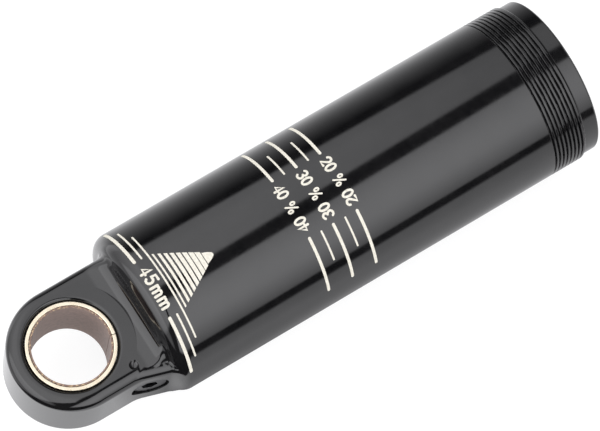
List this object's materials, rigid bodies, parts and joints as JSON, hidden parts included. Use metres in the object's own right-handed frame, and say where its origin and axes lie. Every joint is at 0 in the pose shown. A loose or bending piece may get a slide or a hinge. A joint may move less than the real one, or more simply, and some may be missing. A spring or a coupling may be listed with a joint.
{
  "type": "rear shock damper body",
  "caption": "Damper body of a bicycle's air shock: a tube with a bushed eyelet, a gas fill valve, a floating piston inside and a threaded open mouth.",
  "frame": {"origin": "centre of the eyelet's bore", "axes": "+X along the tube from the eyelet to the open mouth, +Z along the eyelet's bore, the fill port opens on the -Y side"},
  "size_m": [0.1052, 0.0288, 0.0288],
  "materials": {
    "black_anodised": "gloss black anodised aluminium",
    "bushing_metal": "tinned bronze, satin",
    "bushing_liner": "low-friction polymer, matt",
    "dark_steel": "blackened steel",
    "brass": "turned brass",
    "bright_steel": "bright steel",
    "rubber": "nitrile rubber, matt",
    "clear_anodised": "turned and clear anodised aluminium",
    "wear_band": "filled PTFE, matt"
  },
  "bodies": {
    "body": {"damper_body": "black_anodised", "bushing_shell": "bushing_metal", "bushing_liner": "bushing_liner", "fill_port_plug": "dark_steel", "fill_port_o_ring": "rubber", "valve_core_head": "brass", "valve_core_barrel": "brass", "valve_core_gasket": "rubber", "valve_spring": "bright_steel"},
    "valve_stem": {"valve_pin": "brass", "valve_plunger_cup": "brass", "valve_plunger_seal": "rubber"},
    "floating_piston": {"ifp_piston": "clear_anodised", "ifp_quad_ring": "rubber", "ifp_glide_ring": "wear_band", "ifp_bleed_screw": "bright_steel", "ifp_bleed_o_ring": "rubber"}
  },
  "joints": [
    {"name": "piston_slide", "type": "slide", "parent": "body", "child": "floating_piston", "axis": [1, 0, 0], "range_m": [-0.0086, 0.057]},
    {"name": "valve_press", "type": "slide", "parent": "body", "child": "valve_stem", "axis": [0.2924, 0.9563, 0], "range_m": [0, 0.0008], "stiffness_N_per_m": 200, "springref_m": -0.001, "deforming": ["valve_spring"]}
  ]
}
